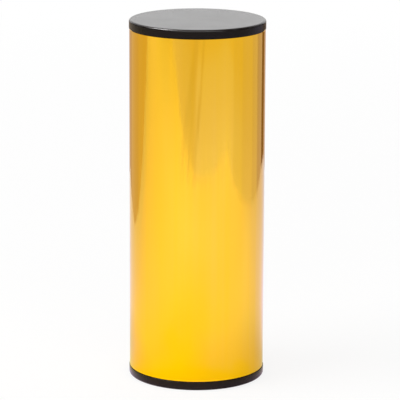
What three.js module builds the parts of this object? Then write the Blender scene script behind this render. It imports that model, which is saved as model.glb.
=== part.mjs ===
// A hand percussion shaker: a polished gold aluminium tube, plugged at each end by a black moulded cap,
// with loose steel shot sealed inside. Millimetres, +Z up along the tube, origin under the bottom cap.
import * as THREE from 'three';

// Sizes of the tube
const TUBE_OUTER_DIAMETER = 48;
const TUBE_WALL = 1;
const TUBE_LENGTH = 122.6;
const TUBE_END_CHAMFER = 0.3;

// Sizes of an end cap: a flange that closes the tube and a hollow plug that is pressed into its bore
const FLANGE_THICKNESS = 3.1;
const FLANGE_OVERHANG = 0.15;
const FLANGE_RIM_RADIUS = 0.8;
const FLANGE_SEAT_GAP = 0.05;
const FACE_THICKNESS = 2.4;
const PLUG_DEPTH = 10;
const PLUG_WALL = 1.8;
const PLUG_CLEARANCE = 0.3;
const PLUG_INNER_CORNER_RADIUS = 1;
const LEAD_IN_WIDTH = 0.6;
const LEAD_IN_LENGTH = 1.5;

// Sizes of the barbed ridges round the plug, which grip the bore
const RIDGE_COUNT = 2;
const RIDGE_LENGTH = 1.2;
const RIDGE_CLEARANCE = 0.05;

// Sizes of the loose shot, and how it lies when the shaker stands still
const SHOT_COUNT = 52;
const SHOT_DIAMETER = 4.5;
const SHOT_SIDE_GAP = 0.4;
const SHOT_WALL_GAP = 0.5;
const SHOT_FLOOR_GAP = 0.3;

// How finely round shapes are divided
const ROUND_STEPS = 64;
const RIM_STEPS = 5;
const CORNER_STEPS = 3;
const SHOT_DETAIL = 2;

// Radii and heights that follow from the sizes
const TUBE_RADIUS = TUBE_OUTER_DIAMETER / 2;
const BORE_RADIUS = TUBE_RADIUS - TUBE_WALL;
const FLANGE_RADIUS = TUBE_RADIUS + FLANGE_OVERHANG;
const PLUG_RADIUS = BORE_RADIUS - PLUG_CLEARANCE;
const RIDGE_RADIUS = BORE_RADIUS - RIDGE_CLEARANCE;
const CHAMBER_RADIUS = PLUG_RADIUS - PLUG_WALL;
const PLUG_END = FLANGE_THICKNESS + PLUG_DEPTH;
const TUBE_BASE = FLANGE_THICKNESS + FLANGE_SEAT_GAP;
const SHAKER_LENGTH = TUBE_LENGTH + 2 * TUBE_BASE;
const SHOT_RADIUS = SHOT_DIAMETER / 2;

// Points of a quarter of a circle in a profile, both ends included
function quarterArc(centreRadius, centreHeight, arcRadius, startAngle, steps) {
  const points = [];
  for (let step = 0; step <= steps; step += 1) {
    const angle = startAngle + (step / steps) * (Math.PI / 2);
    const radius = centreRadius + arcRadius * Math.cos(angle);
    const height = centreHeight + arcRadius * Math.sin(angle);
    points.push(new THREE.Vector2(radius, height));
  }
  return points;
}

// A profile of radius and height, turned about the Z axis
function turned(profile) {
  const geometry = new THREE.LatheGeometry(profile, ROUND_STEPS);
  geometry.rotateX(Math.PI / 2);
  return geometry;
}

function gripRidges() {
  const spacing = PLUG_DEPTH / (RIDGE_COUNT + 1);
  const points = [];
  for (let ridge = 1; ridge <= RIDGE_COUNT; ridge += 1) {
    const shoulder = FLANGE_THICKNESS + ridge * spacing - RIDGE_LENGTH / 2;
    points.push(new THREE.Vector2(PLUG_RADIUS, shoulder));
    points.push(new THREE.Vector2(RIDGE_RADIUS, shoulder));
    points.push(new THREE.Vector2(PLUG_RADIUS, shoulder + RIDGE_LENGTH));
  }
  return points;
}

// An end cap with its outer face down at height 0 and its plug pointing up
function capGeometry() {
  const rimCentre = FLANGE_RADIUS - FLANGE_RIM_RADIUS;
  const cornerCentre = CHAMBER_RADIUS - PLUG_INNER_CORNER_RADIUS;
  const cornerHeight = FACE_THICKNESS + PLUG_INNER_CORNER_RADIUS;
  const innerCorner = quarterArc(cornerCentre, cornerHeight, PLUG_INNER_CORNER_RADIUS, -Math.PI / 2, CORNER_STEPS);
  return turned([
    new THREE.Vector2(0, 0),
    ...quarterArc(rimCentre, FLANGE_RIM_RADIUS, FLANGE_RIM_RADIUS, -Math.PI / 2, RIM_STEPS),
    new THREE.Vector2(FLANGE_RADIUS, FLANGE_THICKNESS),
    new THREE.Vector2(PLUG_RADIUS, FLANGE_THICKNESS),
    ...gripRidges(),
    new THREE.Vector2(PLUG_RADIUS, PLUG_END - LEAD_IN_LENGTH),
    new THREE.Vector2(PLUG_RADIUS - LEAD_IN_WIDTH, PLUG_END),
    new THREE.Vector2(CHAMBER_RADIUS, PLUG_END),
    ...innerCorner.reverse(),
    new THREE.Vector2(0, FACE_THICKNESS),
  ]);
}

// The tube standing on height 0, with its four end edges broken
function tubeGeometry() {
  const profile = [
    new THREE.Vector2(BORE_RADIUS + TUBE_END_CHAMFER, 0),
    new THREE.Vector2(TUBE_RADIUS - TUBE_END_CHAMFER, 0),
    new THREE.Vector2(TUBE_RADIUS, TUBE_END_CHAMFER),
    new THREE.Vector2(TUBE_RADIUS, TUBE_LENGTH - TUBE_END_CHAMFER),
    new THREE.Vector2(TUBE_RADIUS - TUBE_END_CHAMFER, TUBE_LENGTH),
    new THREE.Vector2(BORE_RADIUS + TUBE_END_CHAMFER, TUBE_LENGTH),
    new THREE.Vector2(BORE_RADIUS, TUBE_LENGTH - TUBE_END_CHAMFER),
    new THREE.Vector2(BORE_RADIUS, TUBE_END_CHAMFER),
  ];
  return turned([...profile, profile[0].clone()]);
}

// How many balls go round a ring without touching: one where the ring is too small for a pair
function ringCapacity(radius, pitch) {
  if (radius < pitch / 2) {
    return 1;
  }
  return Math.floor(Math.PI / Math.asin(pitch / (2 * radius)));
}

// Centres of one layer of shot: rings from the wall inwards
function layerOfShot(height) {
  const pitch = SHOT_DIAMETER + SHOT_SIDE_GAP;
  const outerRing = CHAMBER_RADIUS - SHOT_WALL_GAP - SHOT_RADIUS;
  const centres = [];
  for (let radius = outerRing; radius >= 0; radius -= pitch) {
    const count = ringCapacity(radius, pitch);
    const reach = count > 1 ? radius : 0;
    for (let place = 0; place < count; place += 1) {
      const angle = (place / count) * 2 * Math.PI;
      centres.push(new THREE.Vector3(reach * Math.cos(angle), reach * Math.sin(angle), height));
    }
  }
  return centres;
}

// Centres of all the shot: a full layer on the bottom cap, and any that is left over in layers above it
function shotCentres() {
  const centres = [];
  let height = FACE_THICKNESS + SHOT_FLOOR_GAP + SHOT_RADIUS;
  while (centres.length < SHOT_COUNT) {
    centres.push(...layerOfShot(height));
    height += SHOT_DIAMETER + SHOT_SIDE_GAP;
  }
  return centres.slice(0, SHOT_COUNT);
}

function goldAluminium() {
  return new THREE.MeshStandardMaterial({ color: 0xfcc235, roughness: 0.12, metalness: 1 });
}

function blackPlastic() {
  return new THREE.MeshStandardMaterial({ color: 0x1b1a1b, roughness: 0.45, metalness: 0 });
}

function shotSteel() {
  return new THREE.MeshStandardMaterial({ color: 0xb4b6b8, roughness: 0.3, metalness: 1 });
}

function addPiece(group, name, geometry, material) {
  const piece = new THREE.Mesh(geometry, material);
  piece.name = name;
  group.add(piece);
  return piece;
}

const shaker = new THREE.Group();

const bodyTube = addPiece(shaker, 'body_tube', tubeGeometry(), goldAluminium());
bodyTube.position.z = TUBE_BASE;

addPiece(shaker, 'bottom_cap', capGeometry(), blackPlastic());

const topCap = addPiece(shaker, 'top_cap', capGeometry(), blackPlastic());
topCap.rotation.x = Math.PI;
topCap.position.z = SHAKER_LENGTH;

const shotCharge = new THREE.Group();
shaker.add(shotCharge);
shotCentres().forEach((centre, index) => {
  const number = String(index + 1).padStart(2, '0');
  const ball = addPiece(
    shotCharge,
    `shot_${number}`,
    new THREE.IcosahedronGeometry(SHOT_RADIUS, SHOT_DETAIL),
    shotSteel(),
  );
  ball.position.copy(centre);
});

export default shaker;
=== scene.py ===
# A hand shaker: mirror-bright gold tube, black moulded caps and loose steel shot, on a white studio sheet.
import math
import random

import bmesh
import bpy
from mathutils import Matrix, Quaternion, Vector


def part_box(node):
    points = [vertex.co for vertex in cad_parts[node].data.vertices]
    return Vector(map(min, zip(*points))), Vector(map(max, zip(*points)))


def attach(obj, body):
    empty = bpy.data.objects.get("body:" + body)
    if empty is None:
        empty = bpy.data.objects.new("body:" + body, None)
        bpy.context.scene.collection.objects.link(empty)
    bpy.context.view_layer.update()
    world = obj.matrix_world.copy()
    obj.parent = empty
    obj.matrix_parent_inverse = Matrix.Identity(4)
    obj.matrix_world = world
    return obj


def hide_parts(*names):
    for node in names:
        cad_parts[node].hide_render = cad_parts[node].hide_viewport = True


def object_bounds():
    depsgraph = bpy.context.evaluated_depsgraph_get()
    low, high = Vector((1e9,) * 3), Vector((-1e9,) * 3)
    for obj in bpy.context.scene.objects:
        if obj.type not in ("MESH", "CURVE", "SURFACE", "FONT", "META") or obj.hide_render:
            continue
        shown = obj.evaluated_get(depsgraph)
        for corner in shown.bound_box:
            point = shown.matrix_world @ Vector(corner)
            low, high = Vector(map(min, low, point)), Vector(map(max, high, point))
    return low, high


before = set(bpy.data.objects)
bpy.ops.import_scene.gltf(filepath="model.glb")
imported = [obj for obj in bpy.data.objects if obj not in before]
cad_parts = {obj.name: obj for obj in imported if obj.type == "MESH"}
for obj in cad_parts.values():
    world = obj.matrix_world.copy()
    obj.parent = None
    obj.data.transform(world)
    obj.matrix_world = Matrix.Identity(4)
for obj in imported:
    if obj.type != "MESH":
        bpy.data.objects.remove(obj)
cad_low, cad_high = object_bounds()

# Sizes that the frame gives
TUBE_LOW, TUBE_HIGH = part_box("body_tube")
_, CAP_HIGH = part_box("bottom_cap")
TUBE_RADIUS = TUBE_HIGH.x
TUBE_BASE = TUBE_LOW.z
TUBE_TOP = TUBE_HIGH.z
FLANGE_RADIUS = CAP_HIGH.x
PLUG_END = CAP_HIGH.z
SHAKER_LENGTH = cad_high.z
SHOT_NODES = sorted(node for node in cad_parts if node.startswith("shot_"))

# Sizes inside the pieces, as in the part's source, in metres
TUBE_WALL = 0.001
FLANGE_THICKNESS = 0.0031
FLANGE_RIM_ROUND = 0.0008
FACE_THICKNESS = 0.0024
PLUG_WALL = 0.0018
PLUG_CLEARANCE = 0.0003
PLUG_CORNER_ROUND = 0.001
LEAD_IN_WIDTH = 0.0006
LEAD_IN_LENGTH = 0.0015
RIDGE_COUNT = 2
RIDGE_LENGTH = 0.0012
RIDGE_CLEARANCE = 0.00005
SHOT_RADIUS = 0.00225

# Edges of this model alone: a finer chamfer than the part's source has, and a rounding that it leaves out
TUBE_END_CHAMFER = 0.00015
FLANGE_SEAT_ROUND = 0.0001

# Radii that follow from the sizes
BORE_RADIUS = TUBE_RADIUS - TUBE_WALL
PLUG_RADIUS = BORE_RADIUS - PLUG_CLEARANCE
RIDGE_RADIUS = BORE_RADIUS - RIDGE_CLEARANCE
CHAMBER_RADIUS = PLUG_RADIUS - PLUG_WALL

# Small flats on each ball: how many, how far out they lie in radii, and the seed of the random draws
FLATS_PER_BALL = 5
FLAT_DEEPEST = 0.975
FLAT_SHALLOWEST = 0.99
FLAT_SEED = 7

# How finely the pieces are divided
ROUND_STEPS = 256
RIM_SEGMENTS = 8
EDGE_SEGMENTS = 4
SHOT_SUBDIVISIONS = 3

# How near points count as one, how near they count as on a ring, and the angle past which an edge is sharp
MERGE_DISTANCE = 1e-7
RING_TOLERANCE = 1e-6
SHARP_ANGLE = math.radians(40)

# Tones of the finishes, each going from the first to the second over its surface
GOLD_TONES = ((0.97, 0.53, 0.033), (0.99, 0.55, 0.038))
GOLD_STREAK_TINTS = ((0.998, 0.994, 0.8), (1.0, 1.0, 1.2))
BORE_TONES = ((0.72, 0.46, 0.12), (0.8, 0.54, 0.16))
PLASTIC_TONES = ((0.0085, 0.0054, 0.005), (0.0115, 0.0072, 0.0066))
RUBBED_PLASTIC = (0.024, 0.021, 0.021)
STEEL_TONES = ((0.42, 0.42, 0.43), (0.6, 0.6, 0.61))

# Gloss of the finishes: the lowest and highest roughness of each, and the plastic's index of refraction
GOLD_ROUGHNESS = (0.065, 0.1)
BORE_ROUGHNESS = (0.35, 0.5)
PLASTIC_ROUGHNESS = (0.238, 0.264)
STEEL_ROUGHNESS = (0.18, 0.27)
PLASTIC_IOR = 1.22

# The span in which most of a noise lies
NOISE_LOW = 0.3
NOISE_HIGH = 0.7

# Wear on the caps' rims: how far in from the edge it starts and is full, and where in a noise it shows
RIM_WEAR_START = 0.0009
RIM_WEAR_FULL = 0.0003
RUB_START = 0.5
RUB_FULL = 0.62

# The photograph's camera
VIEW_ELEVATION = math.radians(13.163)
VIEW_DISTANCE = 0.9468
VIEW_LENS = 238.98
VIEW_SENSOR = 36.0
VIEW_CLIP_END = 20.0
VIEW_ROLL = math.radians(0.245)
FRAMING_RIGHT = 0.00111
FRAMING_DOWN = 0.00084

# Plain values for shader nodes
PLAIN = (1.0, 1.0, 1.0)
ROUND = (1.0, 1.0, 1.0)
ORIGIN = (0.0, 0.0, 0.0)


# Shader node helpers

def feed(tree, socket, value):
    """Links a socket to another one, or gives it a plain number, place or colour."""
    if isinstance(value, bpy.types.NodeSocket):
        tree.links.new(value, socket)
    elif socket.type == "RGBA":
        socket.default_value = (*value, 1.0)
    else:
        socket.default_value = value


def object_position(tree):
    return tree.nodes.new("ShaderNodeTexCoord").outputs["Object"]


def axis_of(tree, place, axis):
    parts = tree.nodes.new("ShaderNodeSeparateXYZ")
    tree.links.new(place, parts.inputs["Vector"])
    return parts.outputs[axis]


def vector_math(tree, operation, *values):
    node = tree.nodes.new("ShaderNodeVectorMath")
    node.operation = operation
    for socket, value in zip(node.inputs, values):
        feed(tree, socket, value)
    return node


def multiplied(tree, first, second):
    return vector_math(tree, "MULTIPLY", first, second).outputs["Vector"]


def product(tree, factors):
    total = factors[0]
    for factor in factors[1:]:
        total = multiplied(tree, total, factor)
    return total


def distance_from(tree, place, middle, stretch):
    """How far a place is from a middle, with each axis stretched by its own factor."""
    offset = vector_math(tree, "SUBTRACT", place, middle).outputs["Vector"]
    stretched = multiplied(tree, offset, stretch)
    return vector_math(tree, "LENGTH", stretched).outputs["Value"]


def map_range(tree, source, from_low, from_high, to_low, to_high):
    node = tree.nodes.new("ShaderNodeMapRange")
    node.inputs["From Min"].default_value = from_low
    node.inputs["From Max"].default_value = from_high
    node.inputs["To Min"].default_value = to_low
    node.inputs["To Max"].default_value = to_high
    tree.links.new(source, node.inputs["Value"])
    return node.outputs["Result"]


def share_between(tree, source, start, end):
    """0 up to the start, 1 from the end on, and even in between."""
    return map_range(tree, source, start, end, 0.0, 1.0)


def noise(tree, place, scale, detail):
    node = tree.nodes.new("ShaderNodeTexNoise")
    feed(tree, node.inputs["Vector"], place)
    feed(tree, node.inputs["Scale"], scale)
    node.inputs["Detail"].default_value = detail
    return node.outputs["Fac"]


def noise_range(tree, source, low, high):
    """A noise brought to a range of values."""
    return map_range(tree, source, NOISE_LOW, NOISE_HIGH, low, high)


def mixed(tree, mask, first, second):
    """A colour that goes from the first to the second with a mask."""
    node = tree.nodes.new("ShaderNodeMix")
    node.data_type = "RGBA"
    feed(tree, node.inputs["Factor"], mask)
    feed(tree, node.inputs["A"], first)
    feed(tree, node.inputs["B"], second)
    return node.outputs["Result"]


def bump(tree, height, strength, distance):
    node = tree.nodes.new("ShaderNodeBump")
    node.inputs["Strength"].default_value = strength
    node.inputs["Distance"].default_value = distance
    tree.links.new(height, node.inputs["Height"])
    return node.outputs["Normal"]


# Effects that more than one finish uses

def new_group(name, inputs, outputs):
    """An empty node group with a position and named numbers going in, and named values coming out."""
    group = bpy.data.node_groups.new(name, "ShaderNodeTree")
    group.interface.new_socket("Position", in_out="INPUT", socket_type="NodeSocketVector")
    for label, value in inputs.items():
        socket = group.interface.new_socket(label, in_out="INPUT", socket_type="NodeSocketFloat")
        socket.default_value = value
    for label in outputs:
        group.interface.new_socket(label, in_out="OUTPUT", socket_type="NodeSocketFloat")
    entry = group.nodes.new("NodeGroupInput")
    leave = group.nodes.new("NodeGroupOutput")
    return group, entry.outputs, leave.inputs


def drawn_lines_group():
    """Fine lines and broader streaks along the tube, left by drawing and polishing, and soft clouds."""
    group, given, found = new_group(
        "drawn_lines",
        {"Line Scale": 900.0, "Line Stretch": 0.02, "Streak Scale": 450.0, "Cloud Scale": 60.0},
        ["Lines", "Streaks", "Cloud"],
    )
    stretch = group.nodes.new("ShaderNodeCombineXYZ")
    stretch.inputs["X"].default_value = 1.0
    stretch.inputs["Y"].default_value = 1.0
    group.links.new(given["Line Stretch"], stretch.inputs["Z"])
    along = multiplied(group, given["Position"], stretch.outputs["Vector"])
    group.links.new(noise(group, along, given["Line Scale"], detail=3.0), found["Lines"])
    group.links.new(noise(group, along, given["Streak Scale"], detail=2.0), found["Streaks"])
    group.links.new(noise(group, given["Position"], given["Cloud Scale"], detail=4.0), found["Cloud"])
    return group


def grain_group():
    """A fine moulded or tumbled grain, with soft larger blotches."""
    group, given, found = new_group(
        "grain",
        {"Grain Scale": 3000.0, "Blotch Scale": 90.0},
        ["Grain", "Blotches"],
    )
    group.links.new(noise(group, given["Position"], given["Grain Scale"], detail=2.0), found["Grain"])
    group.links.new(noise(group, given["Position"], given["Blotch Scale"], detail=5.0), found["Blotches"])
    return group


DRAWN_LINES = drawn_lines_group()
GRAIN = grain_group()


def place_group(tree, group, position, **values):
    node = tree.nodes.new("ShaderNodeGroup")
    node.node_tree = group
    tree.links.new(position, node.inputs["Position"])
    for name, value in values.items():
        node.inputs[name.replace("_", " ")].default_value = value
    return node.outputs


# Finishes

def new_finish(name):
    material = bpy.data.materials.new(name)
    material.use_nodes = True
    tree = material.node_tree
    return material, tree, tree.nodes["Principled BSDF"]


def link_finish(tree, shader, colour, roughness, normal):
    tree.links.new(colour, shader.inputs["Base Color"])
    tree.links.new(roughness, shader.inputs["Roughness"])
    tree.links.new(normal, shader.inputs["Normal"])


def gold_anodised():
    material, tree, shader = new_finish("gold_anodised")
    drawn = place_group(tree, DRAWN_LINES, object_position(tree), Line_Scale=1400.0, Line_Stretch=0.01)
    base = mixed(tree, drawn["Cloud"], *GOLD_TONES)
    streak = noise_range(tree, drawn["Streaks"], 0.0, 1.0)
    colour = multiplied(tree, base, mixed(tree, streak, *GOLD_STREAK_TINTS))
    roughness = noise_range(tree, drawn["Lines"], *GOLD_ROUGHNESS)
    normal = bump(tree, drawn["Lines"], strength=0.35, distance=0.00004)
    link_finish(tree, shader, colour, roughness, normal)
    shader.inputs["Metallic"].default_value = 1.0
    return material


def bore_aluminium():
    material, tree, shader = new_finish("bore_aluminium")
    drawn = place_group(tree, DRAWN_LINES, object_position(tree), Line_Scale=700.0, Line_Stretch=0.03)
    colour = mixed(tree, drawn["Cloud"], *BORE_TONES)
    roughness = noise_range(tree, drawn["Lines"], *BORE_ROUGHNESS)
    normal = bump(tree, drawn["Lines"], strength=0.2, distance=0.00004)
    link_finish(tree, shader, colour, roughness, normal)
    shader.inputs["Metallic"].default_value = 1.0
    return material


def rim_wear(tree, position, patches):
    """Where the rounded outer rims of the caps have been rubbed: patches along the rounding."""
    half_length = SHAKER_LENGTH / 2
    from_axis = distance_from(tree, position, ORIGIN, (1, 1, 0))
    from_middle = distance_from(tree, position, (0, 0, half_length), (0, 0, 1))
    outward = share_between(tree, from_axis, FLANGE_RADIUS - RIM_WEAR_START, FLANGE_RADIUS - RIM_WEAR_FULL)
    endward = share_between(tree, from_middle, half_length - RIM_WEAR_START, half_length - RIM_WEAR_FULL)
    rubbed = share_between(tree, patches, RUB_START, RUB_FULL)
    return product(tree, [outward, endward, rubbed])


def black_moulding():
    material, tree, shader = new_finish("black_moulding")
    position = object_position(tree)
    moulded = place_group(tree, GRAIN, position, Grain_Scale=1900.0, Blotch_Scale=70.0)
    scuffs = place_group(tree, GRAIN, position, Grain_Scale=1200.0, Blotch_Scale=350.0)
    base = mixed(tree, moulded["Blotches"], *PLASTIC_TONES)
    colour = mixed(tree, rim_wear(tree, position, scuffs["Blotches"]), base, RUBBED_PLASTIC)
    roughness = noise_range(tree, moulded["Blotches"], *PLASTIC_ROUGHNESS)
    normal = bump(tree, moulded["Grain"], strength=0.2, distance=0.0002)
    link_finish(tree, shader, colour, roughness, normal)
    shader.inputs["IOR"].default_value = PLASTIC_IOR
    return material


def shot_steel():
    material, tree, shader = new_finish("shot_steel")
    tumbled = place_group(tree, GRAIN, object_position(tree), Grain_Scale=2500.0, Blotch_Scale=400.0)
    colour = mixed(tree, tumbled["Blotches"], *STEEL_TONES)
    roughness = noise_range(tree, tumbled["Grain"], *STEEL_ROUGHNESS)
    normal = bump(tree, tumbled["Grain"], strength=0.1, distance=0.00003)
    link_finish(tree, shader, colour, roughness, normal)
    shader.inputs["Metallic"].default_value = 1.0
    return material


# Mesh helpers

def turned_shape(corners, closed):
    """A solid turned about Z from the corners of its half section."""
    shape = bmesh.new()
    points = [shape.verts.new((radius, 0, height)) for radius, height in corners]
    edges = [shape.edges.new(pair) for pair in zip(points, points[1:])]
    if closed:
        edges.append(shape.edges.new((points[-1], points[0])))
    bmesh.ops.spin(
        shape,
        geom=points + edges,
        cent=(0, 0, 0),
        axis=(0, 0, 1),
        angle=2 * math.pi,
        steps=ROUND_STEPS,
        use_merge=True,
    )
    bmesh.ops.remove_doubles(shape, verts=shape.verts, dist=MERGE_DISTANCE)
    bmesh.ops.recalc_face_normals(shape, faces=shape.faces)
    return shape


def on_ring(vertex, radius, height):
    reach = math.hypot(vertex.co.x, vertex.co.y)
    return abs(reach - radius) < RING_TOLERANCE and abs(vertex.co.z - height) < RING_TOLERANCE


def round_ring(shape, radius, height, size, segments):
    """Rounds the circular edge at that radius and height, or chamfers it with one segment."""
    ring = [edge for edge in shape.edges if all(on_ring(vertex, radius, height) for vertex in edge.verts)]
    bmesh.ops.bevel(
        shape,
        geom=ring,
        offset=size,
        affect="EDGES",
        segments=segments,
        profile=0.5,
        material=-1,
    )


def new_object(name, shape, materials):
    mesh = bpy.data.meshes.new(name)
    shape.to_mesh(mesh)
    shape.free()
    for material in materials:
        mesh.materials.append(material)
    made = bpy.data.objects.new(name, mesh)
    bpy.context.scene.collection.objects.link(made)
    return made


def finished_piece(name, shape, materials, body, node):
    """The shape as a smooth shaded object that rides on its body and stands for its CAD node."""
    piece = new_object(name, shape, materials)
    piece.data.polygons.foreach_set("use_smooth", [True] * len(piece.data.polygons))
    piece.data.set_sharp_from_angle(angle=SHARP_ANGLE)
    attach(piece, body)
    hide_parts(node)
    return piece


def even_normals(piece):
    """Large faces keep their own direction, and only the roundings shade across."""
    modifier = piece.modifiers.new("even_normals", "WEIGHTED_NORMAL")
    modifier.keep_sharp = True


# Pieces

def tube_shell(gold, bore):
    shape = turned_shape(
        [
            (BORE_RADIUS, TUBE_BASE),
            (TUBE_RADIUS, TUBE_BASE),
            (TUBE_RADIUS, TUBE_TOP),
            (BORE_RADIUS, TUBE_TOP),
        ],
        closed=True,
    )
    for radius in (BORE_RADIUS, TUBE_RADIUS):
        for height in (TUBE_BASE, TUBE_TOP):
            round_ring(shape, radius, height, TUBE_END_CHAMFER, segments=1)
    middle_of_wall = (BORE_RADIUS + TUBE_RADIUS) / 2
    for face in shape.faces:
        centre = face.calc_center_median()
        face.material_index = 1 if math.hypot(centre.x, centre.y) < middle_of_wall else 0
    piece = finished_piece("tube_shell", shape, [gold, bore], "shell", "body_tube")
    even_normals(piece)


def ridge_corners():
    spacing = (PLUG_END - FLANGE_THICKNESS) / (RIDGE_COUNT + 1)
    corners = []
    for ridge in range(1, RIDGE_COUNT + 1):
        shoulder = FLANGE_THICKNESS + ridge * spacing - RIDGE_LENGTH / 2
        corners.append((PLUG_RADIUS, shoulder))
        corners.append((RIDGE_RADIUS, shoulder))
        corners.append((PLUG_RADIUS, shoulder + RIDGE_LENGTH))
    return corners


def end_cap(name, node, plastic, upside_down):
    shape = turned_shape(
        [
            (0, 0),
            (FLANGE_RADIUS, 0),
            (FLANGE_RADIUS, FLANGE_THICKNESS),
            (PLUG_RADIUS, FLANGE_THICKNESS),
            *ridge_corners(),
            (PLUG_RADIUS, PLUG_END - LEAD_IN_LENGTH),
            (PLUG_RADIUS - LEAD_IN_WIDTH, PLUG_END),
            (CHAMBER_RADIUS, PLUG_END),
            (CHAMBER_RADIUS, FACE_THICKNESS),
            (0, FACE_THICKNESS),
        ],
        closed=False,
    )
    round_ring(shape, FLANGE_RADIUS, 0, FLANGE_RIM_ROUND, RIM_SEGMENTS)
    round_ring(shape, FLANGE_RADIUS, FLANGE_THICKNESS, FLANGE_SEAT_ROUND, EDGE_SEGMENTS)
    round_ring(shape, CHAMBER_RADIUS, FACE_THICKNESS, PLUG_CORNER_ROUND, EDGE_SEGMENTS)
    if upside_down:
        for vertex in shape.verts:
            vertex.co.y = -vertex.co.y
            vertex.co.z = SHAKER_LENGTH - vertex.co.z
    piece = finished_piece(name, shape, [plastic], "shell", node)
    even_normals(piece)


def steel_ball(node, steel, chance):
    """A ball of shot with a few small flats where it has struck its neighbours."""
    low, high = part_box(node)
    centre = (low + high) / 2
    shape = bmesh.new()
    bmesh.ops.create_icosphere(shape, subdivisions=SHOT_SUBDIVISIONS, radius=SHOT_RADIUS)
    for _ in range(FLATS_PER_BALL):
        direction = Vector((chance.gauss(0, 1), chance.gauss(0, 1), chance.gauss(0, 1))).normalized()
        limit = SHOT_RADIUS * chance.uniform(FLAT_DEEPEST, FLAT_SHALLOWEST)
        for vertex in shape.verts:
            proud = vertex.co.dot(direction) - limit
            if proud > 0:
                vertex.co -= direction * proud
    bmesh.ops.translate(shape, verts=shape.verts, vec=centre)
    finished_piece("ball_of_" + node, shape, [steel], node, node)


def build_shaker():
    gold = gold_anodised()
    bore = bore_aluminium()
    plastic = black_moulding()
    steel = shot_steel()
    tube_shell(gold, bore)
    end_cap("cap_moulding_bottom", "bottom_cap", plastic, upside_down=False)
    end_cap("cap_moulding_top", "top_cap", plastic, upside_down=True)
    chance = random.Random(FLAT_SEED)
    for node in SHOT_NODES:
        steel_ball(node, steel, chance)


# The white sheet: how far it reaches, where it fades to plain white for the camera, and its own white
SHEET_REACH = 4.0
SHEET_FADE_START = 0.3
SHEET_FADE_END = 0.8
SHEET_WHITE = (0.9, 0.9, 0.9)

# How much of the sheet glows evenly and how much is lit, first to the camera and then in a mirror
CAMERA_GLOW = 0.84
CAMERA_SHADING = 0.18
MIRROR_GLOW = 0.35
MIRROR_SHADING = 0.8

# The room round the sheet: its level in front and behind, and how far along Y a ray points to meet each
ROOM_FRONT = 0.05
ROOM_BACK = 0.21
ROOM_TURN = 0.7

# The softboxes: where each hangs, its width and height, and its radiance
SOFTBOXES = {
    "key_softbox": ((-1.35, -0.5, 1.75), 1.5, 1.3, 3.6),
    "front_softbox": ((0.2, -2.2, 1.4), 2.4, 1.2, 2.0),
    "top_softbox": ((0.0, 0.0, 2.2), 2.2, 2.2, 1.0),
    "back_softbox": ((0.0, 2.4, 0.73), 3.2, 1.1, 1.55),
}

# The sheet in the gold's mirror, painted with reflected light and shade: places from left to right, then
# from front to back, with the tone there
SIDE_TONES = [
    (-0.6, (0.78, 0.78, 0.6)),
    (-0.4, (0.86, 0.86, 0.74)),
    (-0.19, (1.0, 1.0, 0.92)),
    (-0.08, (1.05, 1.04, 1.02)),
    (0.0, (1.04, 1.015, 1.06)),
    (0.1, (0.98, 1.01, 1.14)),
    (0.25, (0.985, 1.0, 1.24)),
]
DEPTH_TONES = [
    (-0.55, (0.97, 0.96, 0.55)),
    (-0.35, (1.04, 1.07, 0.95)),
    (-0.25, (1.1, 1.13, 1.1)),
    (-0.1, (1.1, 1.1, 0.9)),
    (0.0, (1.03, 1.03, 1.04)),
    (0.07, (0.9, 0.91, 1.14)),
    (0.15, (0.85, 0.855, 0.93)),
    (0.3, (0.8, 0.8, 0.76)),
]


def blue(level):
    """A tone that changes only the blue."""
    return (1.0, 1.0, level)


# Soft patches of painted shade and light on the sheet, in the gold's mirror only: the middle of each, with
# tones by the distance
SHEET_PATCHES = [
    # A shade at the right of the foot, away from the key light
    (
        (0.03, -0.012, 0.0),
        [
            (0.0, (0.83, 0.82, 0.82)),
            (0.035, (0.88, 0.88, 0.86)),
            (0.07, (0.955, 0.97, 0.96)),
            (0.1, PLAIN),
        ],
    ),
    # A shade behind the foot, to the left
    (
        (-0.03, 0.035, 0.0),
        [
            (0.0, (0.82, 0.81, 1.0)),
            (0.034, (0.9, 0.89, 1.06)),
            (0.045, (0.94, 0.94, 1.0)),
            (0.06, PLAIN),
        ],
    ),
    # Cooler light at the left of the foot
    ((-0.05, 0.01, 0.0), [(0.0, blue(1.5)), (0.012, blue(1.45)), (0.022, blue(1.15)), (0.035, PLAIN)]),
    # Warmer light in a wide ring
    ((0.0, -0.03, 0.0), [(0.075, PLAIN), (0.11, blue(0.9)), (0.3, blue(0.9)), (0.45, PLAIN)]),
    # A small spot of painted warm light in front, to the left
    ((-0.054, -0.068, 0.0), [(0.0, blue(0.42)), (0.01, blue(0.5)), (0.024, PLAIN)]),
    # A small spot of painted warm light at the right of the foot
    ((0.038, -0.02, 0.0), [(0.0, blue(0.4)), (0.007, blue(0.5)), (0.014, PLAIN)]),
    # Lighter to the right and behind
    ((0.16, 0.07, 0.0), [(0.0, (1.045, 1.055, 1.14)), (0.09, (1.035, 1.045, 1.1)), (0.14, PLAIN)]),
    # A lit patch in front, far to the left of the leaning boards
    ((-0.465, -0.49, 0.0), [(0.0, (1.07, 1.07, 1.0)), (0.03, (1.055, 1.055, 1.0)), (0.075, PLAIN)]),
]
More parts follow.
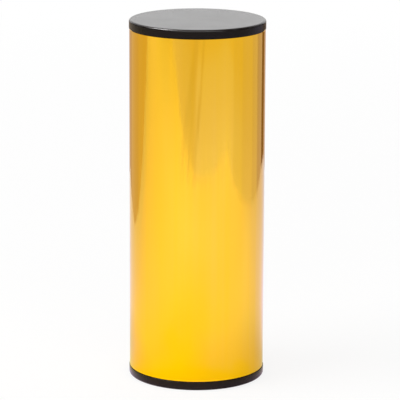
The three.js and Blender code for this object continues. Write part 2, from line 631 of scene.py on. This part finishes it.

# Painted gold light on the sheet in front of the shaker, in the gold's mirror only, in layers: middle,
# stretch of the axes, tones by distance
GLEAM_LAYERS = [
    # A wide layer
    (
        (-0.02, -0.05, 0.0),
        (1.6, 1.0, 1.0),
        [
            (0.0, (1.06, 1.06, 0.03)),
            (0.03, (1.03, 1.03, 0.15)),
            (0.06, (1.0, 0.99, 0.42)),
            (0.1, blue(0.66)),
            (0.15, blue(1.05)),
            (0.2, blue(1.25)),
        ],
    ),
    # A deep one close to the foot
    (
        (-0.001, -0.021, 0.0),
        ROUND,
        [
            (0.02, (1.0, 1.06, 0.18)),
            (0.028, (1.0, 1.045, 0.2)),
            (0.036, (1.0, 1.035, 0.9)),
            (0.042, (1.0, 1.02, 1.0)),
            (0.055, PLAIN),
        ],
    ),
    # A paler one further in front
    (
        (0.0, -0.062, 0.0),
        (0.6, 1.0, 1.0),
        [(0.0, blue(1.55)), (0.022, blue(1.5)), (0.03, blue(1.35)), (0.04, blue(1.1)), (0.05, PLAIN)],
    ),
]

# A painted bright strip of light on the sheet at the shaker's foot, which the gleam leaves out: its middle,
# where it ends, and its tone
STRIP_MIDDLE = (0.0, -0.006, 0.0)
STRIP_FADE_START = 0.0255
STRIP_FADE_END = 0.03
STRIP_TONE = (1.95, 1.6, 1.75)

# How high the cards stand, and how far their tops lie to the right of their feet
CARD_HEIGHT = 0.13
UPRIGHT = 0.0
BOARD_LEAN = 0.195
FOLD_LEAN = 0.3

# Cards round the sheet that only mirrors see, which glow and paint reflections, with painted shade by
# height: the line each stands on, its lean, and its colours by height
CARDS = {
    "back_card": (
        [(-0.14, 0.32), (0.18, 0.34)],
        UPRIGHT,
        [(0.015, (0.61, 0.48, 0.42)), (0.038, (0.59, 0.46, 0.4))],
    ),
    # A dim glowing card that paints a dark band of reflection and blocks no light
    "dark_reflection_card": (
        [(0.18, 0.34), (0.24, 0.265)],
        UPRIGHT,
        [(0.015, (0.24, 0.15, 0.045)), (0.038, (0.24, 0.15, 0.045))],
    ),
    "right_back_card": (
        [(0.24, 0.265), (0.27, 0.15)],
        UPRIGHT,
        [(0.015, (0.58, 0.53, 0.65)), (0.038, (0.56, 0.52, 0.6))],
    ),
    "right_corner_card": (
        [(0.27, 0.15), (0.29, 0.07)],
        UPRIGHT,
        [(0.015, (0.74, 0.73, 1.05)), (0.038, (0.71, 0.7, 0.85))],
    ),
    "right_card": (
        [(0.29, 0.07), (0.3, 0.0), (0.305, -0.055)],
        UPRIGHT,
        [(0.01, (0.82, 0.84, 1.25)), (0.034, (0.78, 0.78, 0.95)), (0.062, (0.77, 0.76, 0.7))],
    ),
    "right_front_card": (
        [(0.305, -0.055), (0.31, -0.17)],
        UPRIGHT,
        [(0.0, (0.88, 0.93, 1.3)), (0.03, (0.825, 0.86, 1.25)), (0.062, (0.81, 0.79, 0.6))],
    ),
    "front_card": (
        [(0.31, -0.17), (0.32, -0.27), (0.25, -0.31), (0.18, -0.33), (0.12, -0.35), (-0.01, -0.365)],
        UPRIGHT,
        [
            (0.0, (0.95, 1.03, 1.85)),
            (0.026, (0.885, 0.93, 1.6)),
            (0.053, (0.85, 0.88, 1.1)),
            (0.062, (0.845, 0.825, 0.55)),
        ],
    ),
    "left_front_card": (
        [
            (-0.01, -0.365),
            (-0.08, -0.39),
            (-0.19, -0.43),
            (-0.325, -0.503),
            (-0.438, -0.536),
            (-0.61, -0.596),
        ],
        UPRIGHT,
        [
            (0.0, (0.875, 0.895, 1.15)),
            (0.012, (0.85, 0.86, 1.1)),
            (0.05, (0.81, 0.815, 0.85)),
            (0.062, (0.81, 0.775, 0.6)),
        ],
    ),
    "leaning_board": (
        [(-0.112, -0.35), (-0.083, -0.35)],
        BOARD_LEAN,
        [
            (0.0, (1.0, 1.02, 1.3)),
            (0.014, (0.875, 0.885, 1.1)),
            (0.025, (0.79, 0.8, 0.95)),
            (0.062, (0.785, 0.75, 0.5)),
        ],
    ),
    "leaning_strip": (
        [(-0.045, -0.35), (-0.024, -0.35)],
        BOARD_LEAN,
        [(0.0, (0.94, 0.96, 1.3)), (0.025, (0.765, 0.775, 0.92)), (0.062, (0.755, 0.72, 0.5))],
    ),
    "board_fold": (
        [(-0.19, -0.348), (-0.145, -0.348)],
        FOLD_LEAN,
        [
            (0.01, (1.05, 1.06, 1.2)),
            (0.0195, (0.87, 0.875, 1.02)),
            (0.0285, (0.79, 0.8, 0.94)),
            (0.034, (0.76, 0.77, 0.9)),
            (0.062, (0.755, 0.72, 0.5)),
        ],
    ),
    "far_left_card": (
        [(-0.61, -0.596), (-0.9, -0.4), (-1.0, 0.0)],
        UPRIGHT,
        [(0.0, (0.82, 0.76, 0.6)), (0.062, (0.78, 0.71, 0.5))],
    ),
    "left_back_card": (
        [(-0.14, 0.32), (-0.17, 0.23)],
        UPRIGHT,
        [(0.015, (0.61, 0.49, 0.33)), (0.038, (0.6, 0.48, 0.33))],
    ),
    "left_corner_card": (
        [(-0.17, 0.23), (-0.19, 0.15), (-0.25, 0.115)],
        UPRIGHT,
        [(0.015, (0.68, 0.59, 0.47)), (0.038, (0.68, 0.59, 0.45))],
    ),
    "left_card": (
        [(-0.25, 0.115), (-0.4, 0.09), (-0.7, 0.04), (-1.0, 0.0)],
        UPRIGHT,
        [(0.015, (0.74, 0.66, 0.45)), (0.038, (0.72, 0.64, 0.41))],
    ),
}

# Bright glowing cards high up, for the caps to mirror, which paint highlights on them: line, lower and
# upper edge, glow
HIGH_CARDS = {
    "high_left_card": ([(-0.6, -0.26), (-0.6, 0.17)], 0.7, 1.3, 100.0),
    "high_front_card": ([(-1.0, -1.0), (1.0, -1.0)], 0.5, 2.1, 7.0),
    "high_back_card": ([(-1.6, 0.9), (-0.9, 1.4), (0.9, 1.4), (1.6, 0.9)], 0.75, 1.9, 1.5),
}


# Studio materials

def new_stage_material(name):
    material = bpy.data.materials.new(name)
    material.use_nodes = True
    tree = material.node_tree
    tree.nodes.clear()
    output = tree.nodes.new("ShaderNodeOutputMaterial")
    return material, tree, output.inputs["Surface"]


def diffuse(tree, colour):
    node = tree.nodes.new("ShaderNodeBsdfDiffuse")
    feed(tree, node.inputs["Color"], colour)
    return node.outputs["BSDF"]


def emission(tree, colour, strength):
    node = tree.nodes.new("ShaderNodeEmission")
    feed(tree, node.inputs["Color"], colour)
    feed(tree, node.inputs["Strength"], strength)
    return node.outputs["Emission"]


def background(tree, strength):
    node = tree.nodes.new("ShaderNodeBackground")
    feed(tree, node.inputs["Color"], PLAIN)
    feed(tree, node.inputs["Strength"], strength)
    return node.outputs["Background"]


def chosen(tree, share, first, second):
    """The first shader where the share is 0, and the second where it is 1."""
    node = tree.nodes.new("ShaderNodeMixShader")
    tree.links.new(share, node.inputs["Fac"])
    tree.links.new(first, node.inputs[1])
    tree.links.new(second, node.inputs[2])
    return node.outputs["Shader"]


def lit_and_glowing(tree, glow, shading, tint=None):
    """A matt sheet of which one share is lit by the studio and another glows evenly."""
    if tint is None:
        lit = diffuse(tree, (shading, shading, shading))
        even = emission(tree, PLAIN, glow)
    else:
        dimmed = vector_math(tree, "SCALE", tint)
        dimmed.inputs["Scale"].default_value = shading
        lit = diffuse(tree, dimmed.outputs["Vector"])
        even = emission(tree, tint, glow)
    both = tree.nodes.new("ShaderNodeAddShader")
    tree.links.new(lit, both.inputs[0])
    tree.links.new(even, both.inputs[1])
    return both.outputs["Shader"]


def tone_ramp(tree, value, tones):
    """A tone that changes with a place, from a list of places and their tones."""
    low, high = tones[0][0], tones[-1][0]
    ramp = tree.nodes.new("ShaderNodeValToRGB")
    stops = ramp.color_ramp.elements
    while len(stops) < len(tones):
        stops.new(0.5)
    for stop, (place, tone) in zip(stops, tones):
        stop.position = (place - low) / (high - low)
        stop.color = (*tone, 1.0)
    tree.links.new(share_between(tree, value, low, high), ramp.inputs["Fac"])
    return ramp.outputs["Color"]


def soft_patch(tree, position, middle, stretch, tones):
    return tone_ramp(tree, distance_from(tree, position, middle, stretch), tones)


def gold_gleam(tree, position):
    """The painted gold light on the sheet in front of the shaker, with the painted bright strip at its
    foot.
    """
    gleam = product(tree, [soft_patch(tree, position, *layer) for layer in GLEAM_LAYERS])
    reach = distance_from(tree, position, STRIP_MIDDLE, ROUND)
    past_strip = share_between(tree, reach, STRIP_FADE_START, STRIP_FADE_END)
    return mixed(tree, past_strip, STRIP_TONE, gleam)


def mirrored_tint(tree):
    """The painted reflection of the sheet in the gold's mirror: painted shade behind and far left, painted
    gold light in front.
    """
    position = object_position(tree)
    tints = [
        tone_ramp(tree, axis_of(tree, position, "X"), SIDE_TONES),
        tone_ramp(tree, axis_of(tree, position, "Y"), DEPTH_TONES),
    ]
    for middle, tones in SHEET_PATCHES:
        tints.append(soft_patch(tree, position, middle, ROUND, tones))
    tints.append(gold_gleam(tree, position))
    return product(tree, tints)


def faded_to_white(tree, near):
    """The sheet as it is near the shaker, and plain white further off, so that no far edge shows."""
    away = distance_from(tree, object_position(tree), ORIGIN, ROUND)
    share = share_between(tree, away, SHEET_FADE_START, SHEET_FADE_END)
    return chosen(tree, share, near, emission(tree, PLAIN, 1.0))


def white_sheet():
    """The pale floor: white with a faint shadow to the camera, and painted with reflected light and shade
    in the gold's mirror.
    """
    material, tree, surface = new_stage_material("white_sheet")
    seen = faded_to_white(tree, lit_and_glowing(tree, CAMERA_GLOW, CAMERA_SHADING))
    mirrored = lit_and_glowing(tree, MIRROR_GLOW, MIRROR_SHADING, mirrored_tint(tree))
    path = tree.nodes.new("ShaderNodeLightPath")
    unseen = chosen(tree, path.outputs["Is Glossy Ray"], diffuse(tree, SHEET_WHITE), mirrored)
    tree.links.new(chosen(tree, path.outputs["Is Camera Ray"], unseen, seen), surface)
    return material


# Studio

def floor():
    shape = bmesh.new()
    bmesh.ops.create_grid(shape, x_segments=1, y_segments=1, size=SHEET_REACH)
    sheet = new_object("floor", shape, [white_sheet()])


def standing_card(name, line, lean, low, high, material):
    """A plain card standing along a line, out of the camera's sight, that only mirrors see."""
    shape = bmesh.new()
    points = [shape.verts.new((x, y, low)) for x, y in line]
    edges = [shape.edges.new(pair) for pair in zip(points, points[1:])]
    raised = bmesh.ops.extrude_edge_only(shape, edges=edges)["geom"]
    top = [item for item in raised if isinstance(item, bmesh.types.BMVert)]
    bmesh.ops.translate(shape, verts=top, vec=(lean, 0, high - low))
    card = new_object(name, shape, [material])
    card.visible_camera = False
    card.visible_diffuse = False
    card.visible_shadow = False


# A glowing card that paints a reflection, its painted shade changing with height
def painted_reflection_card(name, line, lean, tones):
    material, tree, surface = new_stage_material(name)
    height = axis_of(tree, object_position(tree), "Z")
    tree.links.new(emission(tree, tone_ramp(tree, height, tones), 1.0), surface)
    standing_card(name, line, lean, 0.0, CARD_HEIGHT, material)


def high_card(name, line, low, high, glow):
    """A glowing card that paints highlights, seen in a first reflection only, so that it throws no light on
    the sheet by way of the gold.
    """
    material, tree, surface = new_stage_material(name)
    path = tree.nodes.new("ShaderNodeLightPath")
    strength = map_range(tree, path.outputs["Ray Depth"], 1.0, 2.0, glow, 0.0)
    tree.links.new(emission(tree, PLAIN, strength), surface)
    standing_card(name, line, UPRIGHT, low, high, material)


def softbox(name, place, width, height, radiance):
    light = bpy.data.lights.new(name, "AREA")
    light.shape = "RECTANGLE"
    light.size = width
    light.size_y = height
    light.energy = radiance * math.pi * width * height
    lamp = bpy.data.objects.new(name, light)
    lamp.location = place
    target = Vector((0, 0, SHAKER_LENGTH / 2))
    lamp.rotation_mode = "QUATERNION"
    lamp.rotation_quaternion = (target - lamp.location).to_track_quat("-Z", "Y")
    bpy.context.scene.collection.objects.link(lamp)


def surroundings():
    """White to the camera; to everything else a room that is dim in front and paler behind."""
    world = bpy.data.worlds.new("surroundings")
    bpy.context.scene.world = world
    world.use_nodes = True
    tree = world.node_tree
    tree.nodes.clear()
    output = tree.nodes.new("ShaderNodeOutputWorld")
    direction = tree.nodes.new("ShaderNodeTexCoord").outputs["Generated"]
    depth = axis_of(tree, direction, "Y")
    level = map_range(tree, depth, -ROOM_TURN, ROOM_TURN, ROOM_FRONT, ROOM_BACK)
    path = tree.nodes.new("ShaderNodeLightPath")
    view = chosen(tree, path.outputs["Is Camera Ray"], background(tree, level), background(tree, 1.0))
    tree.links.new(view, output.inputs["Surface"])


def camera():
    data = bpy.data.cameras.new("camera")
    data.lens = VIEW_LENS
    data.sensor_width = VIEW_SENSOR
    data.clip_end = VIEW_CLIP_END
    forward = Vector((0, math.cos(VIEW_ELEVATION), -math.sin(VIEW_ELEVATION)))
    upward = Vector((0, math.sin(VIEW_ELEVATION), math.cos(VIEW_ELEVATION)))
    middle = Vector((0, 0, SHAKER_LENGTH / 2))
    aim = middle + Vector((FRAMING_RIGHT, 0, 0)) - upward * FRAMING_DOWN
    viewer = bpy.data.objects.new("camera", data)
    viewer.location = middle - forward * VIEW_DISTANCE
    viewer.rotation_mode = "QUATERNION"
    look = (aim - viewer.location).to_track_quat("-Z", "Y")
    viewer.rotation_quaternion = look @ Quaternion((0, 0, 1), VIEW_ROLL)
    bpy.context.scene.collection.objects.link(viewer)
    bpy.context.scene.camera = viewer


def build_studio():
    bpy.context.scene.view_settings.view_transform = "Standard"
    floor()
    for name, (line, lean, tones) in CARDS.items():
        painted_reflection_card(name, line, lean, tones)
    for name, (line, low, high, glow) in HIGH_CARDS.items():
        high_card(name, line, low, high, glow)
    for name, (place, width, height, radiance) in SOFTBOXES.items():
        softbox(name, place, width, height, radiance)
    surroundings()
    camera()


build_shaker()
build_studio()
